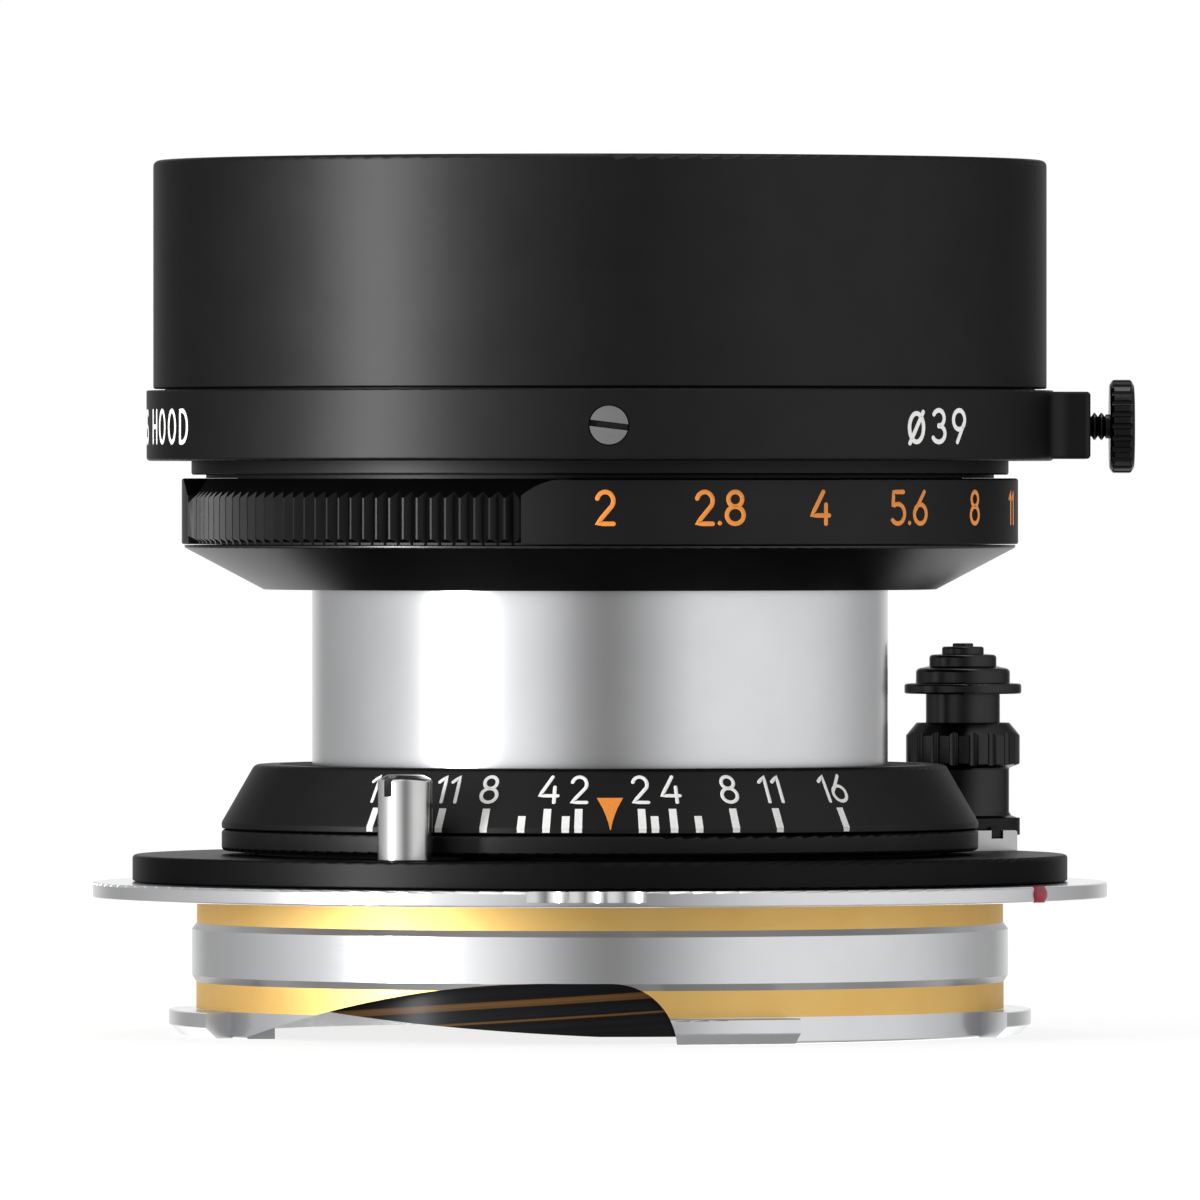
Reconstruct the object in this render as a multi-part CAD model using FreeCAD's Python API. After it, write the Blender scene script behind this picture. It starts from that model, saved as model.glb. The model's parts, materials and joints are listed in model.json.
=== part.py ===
import FreeCAD, Part
import math
import os
from FreeCAD import Vector

# Collapsible 50 mm f/2 rangefinder camera lens with a clamp-on hood.
# Millimetres. +Z is the optical axis towards the subject, and Z = 0 is the rear
# face of the chrome flange, which rests on the camera. The lens is extended and
# focused at infinity. Angles are degrees about +Z, counted from +X.

# ---- driving dimensions -------------------------------------------------------
# bayonet and base
FLANGE_R = 26.0
FLANGE_TOP = 0.8
SKIRT_END = -7.0
SKIRT_IN = 19.3
LUG_R = 22.1
BEAD_AT = -31.1
BASE_R = 23.97
BASE_Z0 = 0.85
BASE_Z1 = 2.2
LEDGE_IN = 17.7

# focusing movement
NUT_IN, NUT_OUT = 16.45, 17.5
HELICOID_IN, HELICOID_OUT = 15.4, 16.4
CONE_TOP, CONE_BREAK, CONE_FOOT = 6.82, 3.85, 3.54
CONE_TOP_R, CONE_R = 17.7, 19.4
RING_Z0, RING_Z1 = 2.4, 3.5
KNOB_R, KNOB_AT = 24.6, 39.8
POST_R, POST_AT = 21.6, -117.0
GROOVE_R, GROOVE_W, GROOVE_Z = 22.7, 0.67, 2.82
CATCH_Z = 3.24
CATCH_FROM, CATCH_TO = 25.0, 46.0

# collapsing tube and head
TUBE_IN, TUBE_OUT = 13.9, 14.76
TUBE_REAR, TUBE_FRONT = 1.6, 17.0
CONE_LOW_Z, CONE_LOW_R = 15.78, 17.24
HEAD_Z, HEAD_R = 18.05, 21.3
BARREL_IN, BARREL_OUT = 15.5, 18.55
BARREL_TOP = 21.38
FRONT_R, FRONT_TOP = 20.95, 25.6
THREAD_R, THREAD_ROOT, THREAD_PITCH = 19.23, 19.5, 0.5

# aperture
AP_R, AP_IN = 21.44, 18.6
AP_Z0, AP_Z1 = 18.1, 21.47
TOOTH_TIP, TOOTH_ROOT = 21.14, 20.82
TOOTH_Z0, TOOTH_Z1 = 18.22, 20.48
KNURL_UPPER = ((20.17, 21.45), (22, 19.62), (22, 22), (20.17, 22))
KNURL_LOWER = ((20.9, 17), (22, 17), (22, 18.84), (21.0, 18.32), (20.9, 18.22))
KNURLS = ((11.0, 79.0), (191.0, 259.0))
TEETH = 32
PAD_BLEND = 7.0
BLADES = 10
BLADE_T, BLADE_PITCH, BLADE_Z = 0.06, 0.1, 17.35
BLADE_IN, BLADE_OUT, PIVOT_R = 9.95, 14.4, 14.9
DRIVE_TRAVEL = 94.2
STOP_STEP = 15.7
DRIVE_AT = 150.0

# hood
HOOD_R, HOOD_IN = 22.9, 22.1
HOOD_Z0, HOOD_TOP = 26.05, 37.75
CLAMP_R, CLAMP_Z0, CLAMP_Z1 = 23.25, 22.36, 25.97
SCREW_Z = 24.13
LUG_END = 25.08
BAFFLES, BAFFLE_PITCH = 11, 0.75
HOOD_SCREWS_AT = (-88.9, 31.1, 151.1)

Z_AXIS = Vector(0, 0, 1)
ORIGIN = Vector(0, 0, 0)


# ---- helpers ------------------------------------------------------------------
def polar(radius, degrees, z=0.0):
    """Point at a radius and an angle about the optical axis."""
    a = math.radians(degrees)
    return Vector(radius * math.cos(a), radius * math.sin(a), z)


def turned(shape, degrees):
    """Copy of a shape, turned about the optical axis."""
    copy = shape.copy()
    copy.rotate(ORIGIN, Z_AXIS, degrees)
    return copy


def outline(points):
    """Closed wire in the XZ plane through (x, z) points. A third number rounds the corner."""
    count = len(points)
    corners = [Vector(p[0], 0, p[1]) for p in points]
    entries, exits, edges = [], [], []
    for i, point in enumerate(points):
        here = corners[i]
        if len(point) < 3:
            entries.append(here)
            exits.append(here)
            continue
        back = (corners[i - 1] - here).normalize()
        ahead = (corners[(i + 1) % count] - here).normalize()
        half = back.getAngle(ahead) / 2
        reach = point[2] / math.tan(half)
        centre = here + (back + ahead).normalize() * (point[2] / math.sin(half))
        start, end = here + back * reach, here + ahead * reach
        middle = centre + (here - centre).normalize() * point[2]
        entries.append(start)
        exits.append(end)
        edges.append(Part.Arc(start, middle, end).toShape())
    for i in range(count):
        start, end = exits[i], entries[(i + 1) % count]
        if start.distanceToPoint(end) > 1e-6:
            edges.append(Part.makeLine(start, end))
    return Part.Wire(Part.__sortEdges__(edges))


def turn(points, start=0.0, sweep=360.0):
    """Solid of revolution about Z from an (r, z) outline."""
    solid = Part.Face(outline(points)).revolve(ORIGIN, Z_AXIS, sweep)
    return turned(solid, start)


def ring(r_in, r_out, z0, z1, start=0.0, sweep=360.0):
    """Plain ring, or a sector of one."""
    return turn([(r_in, z0), (r_out, z0), (r_out, z1), (r_in, z1)], start, sweep)


def rod(radius, base, tip):
    """Cylinder between two points."""
    span = tip - base
    return Part.makeCylinder(radius, span.Length, base, span)


def radial_rod(radius, r0, r1, degrees, z):
    """Cylinder along a radius."""
    return rod(radius, polar(r0, degrees, z), polar(r1, degrees, z))


def moved(shape, vector):
    """Copy of a shape, moved."""
    copy = shape.copy()
    copy.translate(vector)
    return copy


def lens(radius, front_edge, front_sag, rear_edge, rear_sag):
    """Glass disc. A positive sag bulges forward, a negative one backward."""
    def face(z_edge, sag):
        middle = radius / 2
        curve = (radius * radius + sag * sag) / (2 * abs(sag))
        drop = curve - math.sqrt(curve * curve - middle * middle)
        z_middle = z_edge + math.copysign(abs(sag) - drop, sag)
        apex, edge = Vector(0, 0, z_edge + sag), Vector(radius, 0, z_edge)
        mid = Vector(middle, 0, z_middle)
        return Part.Arc(apex, mid, edge).toShape(), apex, edge

    front, front_apex, front_rim = face(front_edge, front_sag)
    rear, rear_apex, rear_rim = face(rear_edge, rear_sag)
    side = Part.makeLine(front_rim, rear_rim)
    axis = Part.makeLine(front_apex, rear_apex)
    wire = Part.Wire(Part.__sortEdges__([front, side, rear, axis]))
    return Part.Face(wire).revolve(ORIGIN, Z_AXIS, 360)


def fluted(shape, count, radius, at_r, z0, z1):
    """Cut straight flutes around Z into a shape that is centred on Z."""
    flutes = [rod(radius, polar(at_r, 360 * i / count, z0), polar(at_r, 360 * i / count, z1))
              for i in range(count)]
    return shape.cut(Part.makeCompound(flutes))


# ---- bayonet and base -----------------------------------------------------------
def camera_cutout():
    """Prism through the front of the skirt that leaves room for the camera's feeler."""
    left, right = -17.9, 3.87
    knee, floor = -3.93, SKIRT_END - 0.5
    a = Vector(left, 0, -6.9)
    b = Vector(-9.5, 0, -4.52)
    c = Vector(-2.0, 0, knee)
    d = Vector(0.6, 0, knee)
    bend = 3.27
    e = Vector(0.6 + bend * math.sin(math.radians(45)), 0, knee - bend + bend * math.cos(math.radians(45)))
    f = Vector(right, 0, knee - bend)
    g = Vector(right, 0, floor)
    h = Vector(left, 0, floor)
    edges = [Part.Arc(a, b, c).toShape(), Part.makeLine(c, d), Part.Arc(d, e, f).toShape(),
             Part.makeLine(f, g), Part.makeLine(g, h), Part.makeLine(h, a)]
    prism = Part.Face(Part.Wire(edges)).extrude(Vector(0, -16, 0))
    return moved(prism, Vector(0, -10, 0))


def bayonet_mount():
    body = turn([(LEDGE_IN, -0.6), (SKIRT_IN, -0.6), (SKIRT_IN, SKIRT_END), (20.7, SKIRT_END, 0.15),
                 (20.7, -4.3), (20.92, -3.95), (20.92, -1.6), (20.67, -1.28), (20.67, 0),
                 (FLANGE_R, 0, 0.12), (FLANGE_R, FLANGE_TOP, 0.12), (LEDGE_IN, FLANGE_TOP)])
    for start, sweep in ((-190, 35), (-102, 39.2), (-20.4, 43.4), (73, 40)):
        lug = turn([(20.0, -5.7), (LUG_R, -5.7, 0.12), (LUG_R, -6.45, 0.1), (21.5, SKIRT_END, 0.1),
                    (20.0, SKIRT_END)], start, sweep)
        body = body.fuse(lug)
    body = body.cut(camera_cutout())
    for x, r in ((-2.75, 1.35), (-0.72, 1.2), (1.28, 1.35)):
        scallop = rod(r, Vector(x, -26.72, 0.24), Vector(x, -26.72, 1.5))
        body = body.cut(scallop)
    body = body.cut(Part.makeBox(1.56, 1.0, 6.5, Vector(-0.78, SKIRT_IN - 0.3, SKIRT_END - 0.1)))
    for i in range(4):
        place = polar(18.5, 45 + 90 * i)
        sink = Part.makeCone(0.85, 0.5, 0.4, place + Vector(0, 0, -0.6), Z_AXIS)
        hole = rod(0.55, place + Vector(0, 0, -0.7), place + Vector(0, 0, 1.0))
        body = body.cut(sink.fuse(hole))
    notch = turned(Part.makeBox(2, 1.18, 2, Vector(25.12, -0.59, -0.5)), BEAD_AT)
    return body.cut(notch).removeSplitter()


def mount_screws():
    screws = []
    for i in range(4):
        place = polar(18.5, 45 + 90 * i)
        head = Part.makeCone(0.8, 0.46, 0.38, place + Vector(0, 0, -0.58), Z_AXIS)
        shank = rod(0.45, place + Vector(0, 0, -0.3), place + Vector(0, 0, 2.0))
        slot = Part.makeBox(2.0, 0.2, 0.2, place + Vector(-1.0, -0.1, -0.65))
        screws.append(head.fuse(shank).cut(slot))
    return Part.makeCompound(screws)


def index_bead():
    dome = Part.makeSphere(0.7, ORIGIN)
    dome = dome.common(Part.makeBox(3, 1.16, 0.82, Vector(-0.9, -0.58, -0.41)))
    dome = dome.cut(Part.makeBox(2, 3, 3, Vector(-2.35, -1.5, -1.5)))
    return turned(moved(dome, Vector(FLANGE_R - 0.35, 0, 0.41)), BEAD_AT)


def base_flange():
    body = turn([(NUT_OUT + 0.02, BASE_Z0), (BASE_R, BASE_Z0, 0.12), (BASE_R, BASE_Z1, 0.2),
                 (NUT_OUT + 0.02, BASE_Z1)])
    body = body.cut(ring(NUT_OUT - 0.5, 19.2, BASE_Z0 - 0.1, 1.42))
    for i in range(4):
        place = polar(18.5, 45 + 90 * i)
        body = body.cut(rod(0.46, place, place + Vector(0, 0, 2.05)))
    for degrees in (31.0, 40.0):
        place = polar(21.0, degrees)
        body = body.cut(rod(0.42, place, place + Vector(0, 0, 3.0)))
        body = body.cut(rod(0.8, place, place + Vector(0, 0, 1.32)))
    place = polar(POST_R, POST_AT)
    return body.cut(rod(0.72, place + Vector(0, 0, 1.0), place + Vector(0, 0, 3.0)))


def focus_shim():
    return ring(19.9, 23.2, FLANGE_TOP + 0.005, BASE_Z0 - 0.005)


def fixed_helicoid():
    body = ring(NUT_IN, NUT_OUT, BASE_Z0, 4.4)
    body = body.fuse(ring(NUT_IN, 19.1, BASE_Z0, 1.4))
    for i in range(4):
        place = polar(18.5, 45 + 90 * i)
        body = body.cut(rod(0.5, place, place + Vector(0, 0, 2.0)))
    return body


def guide_key():
    bar = Part.makeBox(1.5, 1.55, 5.9, Vector(-0.75, 18.35, SKIRT_END + 0.2))
    return bar.common(ring(18.3, 19.9, SKIRT_END, 0))


def stop_post():
    post = turn([(0, 1.05), (0.7, 1.05), (0.7, BASE_Z1), (1.375, BASE_Z1, 0.08),
                 (1.375, 6.3, 0.22), (0.9, 6.56, 0.5), (0, 6.56)])
    slot = Part.makeBox(4, 0.5, 2, Vector(-2, -0.25, 5.46))
    slot.rotate(ORIGIN, Z_AXIS, -128.7)
    return moved(post.cut(slot), polar(POST_R, POST_AT))


def infinity_catch():
    sweep = CATCH_TO - CATCH_FROM
    body = turn([(19.75, BASE_Z1), (23.85, BASE_Z1), (23.85, CATCH_Z, 0.12), (19.75, CATCH_Z, 0.12)],
                CATCH_FROM, sweep)
    groove = ring(GROOVE_R - GROOVE_W / 2, GROOVE_R + GROOVE_W / 2, GROOVE_Z, CATCH_Z + 1,
                  CATCH_FROM - 1, sweep + 2)
    body = body.cut(groove)
    for degrees in (31.0, 40.0):
        place = polar(21.0, degrees)
        body = body.cut(rod(0.42, place, place + Vector(0, 0, 3.0)))
    return body


def catch_screws():
    screws = []
    for degrees in (31.0, 40.0):
        place = polar(21.0, degrees)
        head = rod(0.75, place + Vector(0, 0, 0.92), place + Vector(0, 0, 1.28))
        shank = rod(0.4, place + Vector(0, 0, 1.1), place + Vector(0, 0, 2.9))
        screws.append(head.fuse(shank))
    return Part.makeCompound(screws)


# ---- rangefinder ring -------------------------------------------------------------
def rangefinder_ring():
    flat, lobe, top = -5.0, -6.65, -3.5
    ring_in, ring_out = 15.6, 19.0
    body = ring(ring_in, ring_out, flat, top)
    foot = ring(ring_in + 1.4, ring_out, lobe, flat)
    slope_x, slope_y = -0.0405, 0.0945
    corners = []
    for x, y in ((-30, -30), (30, -30), (30, 30), (-30, 30)):
        corners.append(Vector(x, y, lobe + slope_x * x + slope_y * (y + ring_out)))
    above = Part.Face(Part.makePolygon(corners + corners[:1])).extrude(Vector(0, 0, 12))
    foot = foot.common(above)
    wall = ring(16.95, 17.5, top, -1.9)
    body = body.fuse(foot).fuse(wall)
    body = body.cut(ring(16.9, 17.28, -2.86, -2.38))
    body = body.cut(Part.makeBox(1.6, 2.0, 8.0, Vector(-0.8, 18.25, -8)))
    return body.removeSplitter()


def rangefinder_circlip():
    return ring(16.5, 17.25, -2.83, -2.41, 98, 344)


# ---- focusing group ------------------------------------------------------------------
def focus_helicoid():
    return turn([(HELICOID_IN, -3.4), (16.9, -3.4), (16.9, -2.95), (HELICOID_OUT, -2.95),
                 (HELICOID_OUT, 6.45), (HELICOID_IN, 6.45)])


def depth_scale_ring():
    return turn([(HELICOID_OUT + 0.02, 4.7), (17.65, 4.7), (17.65, CONE_FOOT), (CONE_R, CONE_FOOT, 0.08),
                 (CONE_R, CONE_BREAK, 0.25), (CONE_TOP_R, CONE_TOP, 0.4), (16.45, CONE_TOP),
                 (16.45, 6.42), (HELICOID_OUT + 0.02, 6.42)])


def barrel_retaining_ring():
    body = turn([(14.86, 6.47), (16.43, 6.47), (16.43, 6.8, 0.08), (14.86, 6.8, 0.08)])
    for degrees in (100, 280):
        body = body.cut(ring(15.3, 15.9, 6.6, 7, degrees - 2, 4))
    return body


def lever_hull():
    """Plan outline of the lever: from the ring out to the eye under the knob."""
    centre = polar(KNOB_R, KNOB_AT)
    eye = 2.97
    side_a = polar(CONE_R - 0.2, KNOB_AT - 12.5)
    side_b = polar(CONE_R - 0.2, KNOB_AT + 8.5)

    def tangent(point, side):
        away = point - centre
        angle = math.acos(eye / away.Length)
        base = math.atan2(away.y, away.x)
        return centre + Vector(eye * math.cos(base + side * angle), eye * math.sin(base + side * angle), 0)

    touch_a = tangent(side_a, 1)
    touch_b = tangent(side_b, -1)
    tip = centre + polar(eye, KNOB_AT)
    inner = polar(CONE_R - 0.9, KNOB_AT)
    edges = [Part.makeLine(side_a, touch_a), Part.Arc(touch_a, tip, touch_b).toShape(),
             Part.makeLine(touch_b, side_b), Part.makeLine(side_b, inner), Part.makeLine(inner, side_a)]
    return Part.Face(Part.Wire(edges))


def focus_lever_ring():
    body = turn([(17.65, RING_Z0), (CONE_R, RING_Z0, 0.22), (CONE_R, RING_Z1, 0.22), (17.65, RING_Z1)])
    plate = moved(lever_hull().extrude(Vector(0, 0, 0.5)), Vector(0, 0, 3.3))
    root = ring(19.1, 19.68, 2.55, 3.8, KNOB_AT - 11, 19)
    plate = plate.cut(ring(15, CONE_R + 0.03, RING_Z1 + 0.02, 5))
    hub = polar(KNOB_R, KNOB_AT)
    lip = rod(2.97, hub + Vector(0, 0, 2.92), hub + Vector(0, 0, 3.4)).cut(ring(15, 24.05, 2, 4))
    tongue = ring(GROOVE_R - 0.29, GROOVE_R + 0.29, GROOVE_Z + 0.06, 3.4, CATCH_FROM + 0.4, 19.5)
    tongue = tongue.fuse(ring(GROOVE_R - 2.2, GROOVE_R + 0.29, 3.3, 3.62, CATCH_FROM + 1.0, 6.0))
    root = root.cut(ring(15, CONE_R + 0.03, RING_Z1 + 0.02, 5))
    body = body.fuse(root).fuse(plate).fuse(tongue).fuse(lip)
    return body.cut(rod(0.55, hub, hub + Vector(0, 0, 6))).removeSplitter()


def focus_knob():
    body = turn([(0.62, 3.83), (2.8, 3.83), (2.52, 3.93), (2.41, 4.12), (2.41, 6.4, 0.15),
                 (2.97, 6.61, 0.1), (2.97, 8.1, 0.12), (2.42, 8.76, 0.12), (1.97, 8.76), (1.97, 4.6),
                 (0.62, 4.6)])
    body = fluted(body, 18, 0.3, 3.12, 6.3, 9.0)
    return moved(body, polar(KNOB_R, KNOB_AT))


def knob_spring():
    return moved(ring(1.2, 1.75, 4.65, 7.2), polar(KNOB_R, KNOB_AT))


def lock_button():
    body = turn([(0, 7.25), (1.93, 7.25), (1.93, 10.24), (3.05, 10.26, 0.12), (3.05, 10.78, 0.14),
                 (2.45, 10.83, 0.05), (2.45, 11.55, 0.25), (1.75, 11.7), (1.75, 12.28, 0.18), (1.09, 12.34),
                 (1.09, 12.71, 0.12), (0.54, 12.73), (0.54, 12.89, 0.08), (0, 12.89)])
    return moved(body, polar(KNOB_R, KNOB_AT))


def lock_pin():
    return moved(rod(0.5, Vector(0, 0, 3.36), Vector(0, 0, 7.25)), polar(KNOB_R, KNOB_AT))


# ---- collapsing tube and head --------------------------------------------------------
def collapse_lock_ring():
    body = ring(TUBE_OUT + 0.05, HELICOID_IN - 0.05, 2.7, 6.4)
    for i in range(3):
        body = body.cut(ring(15.1, 16, 2.6, 3.6, 20 + 120 * i, 12))
    return body


def collapsing_tube():
    return turn([(TUBE_IN, TUBE_REAR), (15.3, TUBE_REAR), (15.3, 2.6), (TUBE_OUT, 2.6),
                 (TUBE_OUT, TUBE_FRONT), (TUBE_IN, TUBE_FRONT)])


def head_cone():
    return turn([(TUBE_OUT + 0.01, CONE_LOW_Z), (CONE_LOW_R, CONE_LOW_Z, 0.15),
                 (HEAD_R, HEAD_Z - 0.12, 0.1), (HEAD_R, HEAD_Z), (BARREL_IN, HEAD_Z),
                 (BARREL_IN, TUBE_FRONT), (TUBE_OUT + 0.01, TUBE_FRONT)])


def head_barrel():
    body = ring(BARREL_IN, BARREL_OUT, HEAD_Z, BARREL_TOP)
    slot = ring(BARREL_IN - 1, BARREL_OUT + 1, 18.4, 19.6, DRIVE_AT - DRIVE_TRAVEL - 3, DRIVE_TRAVEL + 6)
    body = body.cut(slot)
    return body.cut(radial_rod(0.56, 16.6, BARREL_OUT + 1, -60, 20.5))


def click_spring():
    return radial_rod(0.42, 16.62, 17.55, -60, 20.5)


def click_ball():
    return Part.makeSphere(0.5, polar(BARREL_OUT - 0.46, -60, 20.5))


def filter_ring():
    shelf = AP_Z1 + 0.01
    points = [(BARREL_IN, 21.4), (18.57, 21.4), (18.57, shelf), (20.2, shelf), (20.2, 21.65),
              (FRONT_R, 21.65, 0.12), (FRONT_R, FRONT_TOP, 0.15), (THREAD_R, FRONT_TOP, 0.12)]
    for i in range(4):
        z = FRONT_TOP - 0.4 - THREAD_PITCH * i
        points += [(THREAD_R, z), (THREAD_ROOT, z - THREAD_PITCH * 0.4),
                   (THREAD_ROOT, z - THREAD_PITCH * 0.5), (THREAD_R, z - THREAD_PITCH * 0.9)]
    return turn(points + [(THREAD_R, 22.3), (BARREL_IN, 22.3)])


def front_cell():
    return turn([(12.9, 19.6), (15.45, 19.6), (15.45, 22.33), (18.9, 22.33), (18.9, 22.82), (13.86, 22.82),
                 (13.86, 20.0), (12.9, 20.0)])


def front_bezel():
    return turn([(13.25, 22.86, 0.05), (17.9, 22.86), (17.9, 23.35, 0.12), (16.6, 23.35),
                 (13.25, 23.02, 0.06)])


def iris_base_plate():
    body = ring(9.8, BARREL_IN - 0.05, 17.02, 17.32)
    for i in range(BLADES):
        place = polar(PIVOT_R, 360 * i / BLADES)
        body = body.cut(rod(0.3, place, place + Vector(0, 0, 20)))
    return body


def middle_retainer():
    return turn([(9.6, 16.35), (10.55, 16.35), (10.55, 16.75), (9.9, 16.75, 0.1)])


def rear_cell():
    return turn([(10.6, 16.8), (TUBE_IN - 0.03, 16.8), (TUBE_IN - 0.03, 4.9, 0.15), (12.02, 4.9, 0.15),
                 (12.02, 11.6), (9.5, 11.6), (9.5, 12.9), (10.6, 12.9)])


def rear_retainer():
    body = turn([(10.9, 6.35), (11.98, 6.35), (11.98, 6.95), (10.9, 6.95)])
    for degrees in (0, 180):
        body = body.cut(ring(11.2, 11.7, 6.3, 6.6, degrees - 4, 8))
    return body


# ---- aperture ring and iris --------------------------------------------------------------
def aperture_outline():
    """Wire of the ring's outer edge in plan: two smooth pads and two knurled runs."""
    edges, last = [], None
    for first, second in KNURLS:
        start, stop = -90 - second, -90 - first
        pitch = (stop - start) / TEETH
        points = []
        for i in range(TEETH):
            points.append(polar(TOOTH_TIP, start + pitch * (i + 0.06)))
            points.append(polar(TOOTH_ROOT, start + pitch * (i + 0.5)))
            points.append(polar(TOOTH_TIP, start + pitch * (i + 0.94)))
        runs = [polar(AP_R, start - 0.35)] + points + [polar(AP_R, stop + 0.35)]
        edges.append((start, stop, runs))
    edges.sort(key=lambda run: run[0])
    pieces = []
    for index, (start, stop, runs) in enumerate(edges):
        pieces += [Part.makeLine(p, q) for p, q in zip(runs, runs[1:])]
        following = edges[(index + 1) % len(edges)]
        far = following[0] + (360 if index == len(edges) - 1 else 0)
        pieces.append(Part.Arc(runs[-1], polar(AP_R, (stop + far) / 2), following[2][0]).toShape())
    return Part.Wire(pieces)


def aperture_ring():
    prism = Part.Face(aperture_outline()).extrude(Vector(0, 0, AP_Z1 - AP_Z0))
    prism = moved(prism, Vector(0, 0, AP_Z0))
    envelope = turn([(AP_IN, AP_Z0), (AP_R + 0.01, AP_Z0, 0.12), (AP_R + 0.01, AP_Z1, 0.16), (AP_IN, AP_Z1)])
    body = prism.common(envelope)
    for first, second in KNURLS:
        start, stop = -90 - second, -90 - first
        sweep = stop - start
        for relief in (KNURL_UPPER, KNURL_LOWER):
            body = body.cut(turn(relief, start - 0.3, sweep + 0.6))
        for end, side in ((start, -1), (stop, 1)):
            body = pad_end(body, end, side, KNURL_UPPER, 1, AP_Z1 - TOOTH_Z1)
            body = pad_end(body, end, side, KNURL_LOWER, -1, TOOTH_Z0 - AP_Z0)
    hole = radial_rod(0.62, AP_IN - 1, 20.0, DRIVE_AT, 19.0)
    body = body.cut(hole)
    for stop_number in range(7):
        place = polar(AP_IN + 0.1, -60 + STOP_STEP * stop_number, 20.5)
        body = body.cut(Part.makeSphere(0.3, place))
    return body


def pad_end(body, end, side, relief, up, rise):
    """Round one end of a smooth pad in side view, above or below the knurled run."""
    width = AP_R * math.radians(PAD_BLEND)
    bow = (width * width + rise * rise) / (2 * rise)
    far = end + side * PAD_BLEND
    edge = AP_Z1 if up > 0 else AP_Z0
    corner = turn(relief, min(end, far), PAD_BLEND)
    keep = radial_rod(bow, 19, 24, far, edge - up * bow)
    return body.cut(corner.cut(keep))


def aperture_screw():
    return radial_rod(0.58, 15.1, 19.95, DRIVE_AT, 19.0)


def iris_drive_ring():
    body = turn([(9.85, 18.42), (15.4, 18.42), (15.4, 19.4), (14.7, 19.4), (14.7, 18.9), (9.85, 18.9)])
    return body.cut(radial_rod(0.6, 14, 16, DRIVE_AT, 19.0))


def iris_blade(index):
    z0 = BLADE_Z + BLADE_PITCH * index
    strip = ring(BLADE_IN, BLADE_OUT, z0, z0 + BLADE_T, -4, 102)
    ear = ring(BLADE_OUT - 0.3, PIVOT_R + 0.45, z0, z0 + BLADE_T, -2.2, 4.4)
    pin = rod(0.25, Vector(PIVOT_R, 0, 17.05), Vector(PIVOT_R, 0, z0 + BLADE_T))
    return turned(strip.fuse(ear).fuse(pin), 360 * index / BLADES)


# ---- hood ------------------------------------------------------------------------------------
def hood_shell():
    points = [(19.9, HOOD_Z0), (21.45, HOOD_Z0), (21.45, 23.05), (22.3, 23.05), (22.3, HOOD_Z0),
              (HOOD_R, HOOD_Z0, 0.1), (HOOD_R, HOOD_TOP, 0.32), (HOOD_IN, HOOD_TOP, 0.32)]
    for i in range(BAFFLES):
        z = 36.6 - BAFFLE_PITCH * i
        points += [(HOOD_IN, z), (HOOD_IN + 0.18, z - BAFFLE_PITCH * 0.25),
                   (HOOD_IN, z - BAFFLE_PITCH * 0.9)]
    body = turn(points + [(HOOD_IN, 28.0), (19.9, 26.65)])
    body = body.cut(ring(21, 22.33, 22.9, 25.4, -4, 8))
    for degrees in HOOD_SCREWS_AT:
        body = body.cut(radial_rod(0.46, 21, 22.6, degrees, SCREW_Z))
    return body


def lug_outline():
    """Plan of the thumb screw's lug, with sides that blend into the clamp ring."""
    half, blend, tip = 3.2, 1.2, 0.3
    centre = Vector(math.sqrt((CLAMP_R + blend) ** 2 - (half + blend) ** 2), half + blend, 0)
    start = centre * (CLAMP_R / (CLAMP_R + blend))
    finish = centre - Vector(0, blend, 0)
    towards = ((start - centre).normalize() + Vector(0, -1, 0)).normalize()
    bend = centre + towards * blend
    shoulder = Vector(LUG_END - tip, half, 0)
    nose = Vector(LUG_END, half - tip, 0)
    round_off = Vector(LUG_END - tip * (1 - math.sqrt(0.5)), half - tip * (1 - math.sqrt(0.5)), 0)

    def mirror(point):
        return Vector(point.x, -point.y, point.z)

    inner = polar(22.4, math.degrees(math.atan2(start.y, start.x)))
    edges = []
    for at in (lambda p: p, mirror):
        edges.append(Part.makeLine(at(inner), at(start)))
        edges.append(Part.Arc(at(start), at(bend), at(finish)).toShape())
        edges.append(Part.makeLine(at(finish), at(shoulder)))
        edges.append(Part.Arc(at(shoulder), at(round_off), at(nose)).toShape())
    edges.append(Part.makeLine(nose, mirror(nose)))
    edges.append(Part.Arc(inner, Vector(22.4, 0, 0), mirror(inner)).toShape())
    return Part.Wire(Part.__sortEdges__(edges))


def hood_clamp_ring():
    body = turn([(20.98, CLAMP_Z0, 0.1), (CLAMP_R, CLAMP_Z0, 0.2), (CLAMP_R, CLAMP_Z1, 0.08),
                 (22.35, CLAMP_Z1), (22.35, 23.0), (21.4, 23.0), (21.4, CLAMP_Z1), (19.6, CLAMP_Z1),
                 (19.6, 25.66), (20.98, 25.66)])
    lug = moved(Part.Face(lug_outline()).extrude(Vector(0, 0, 3.44)), Vector(0, 0, 22.46))
    rims = [e for e in lug.Edges if e.CenterOfMass.x > LUG_END - 0.01 and e.Length > 1]
    lug = lug.makeFillet(0.2, rims)
    body = body.fuse(lug)
    body = body.cut(rod(0.72, Vector(21.4, 0, SCREW_Z), Vector(26, 0, SCREW_Z)))
    body = body.cut(rod(1.02, Vector(20, 0, SCREW_Z), Vector(23.2, 0, SCREW_Z)))
    for degrees in HOOD_SCREWS_AT:
        body = body.cut(radial_rod(1.03, 22.72, 24, degrees, SCREW_Z))
        body = body.cut(radial_rod(0.55, 22, 23, degrees, SCREW_Z))
    return body.removeSplitter()


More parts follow.
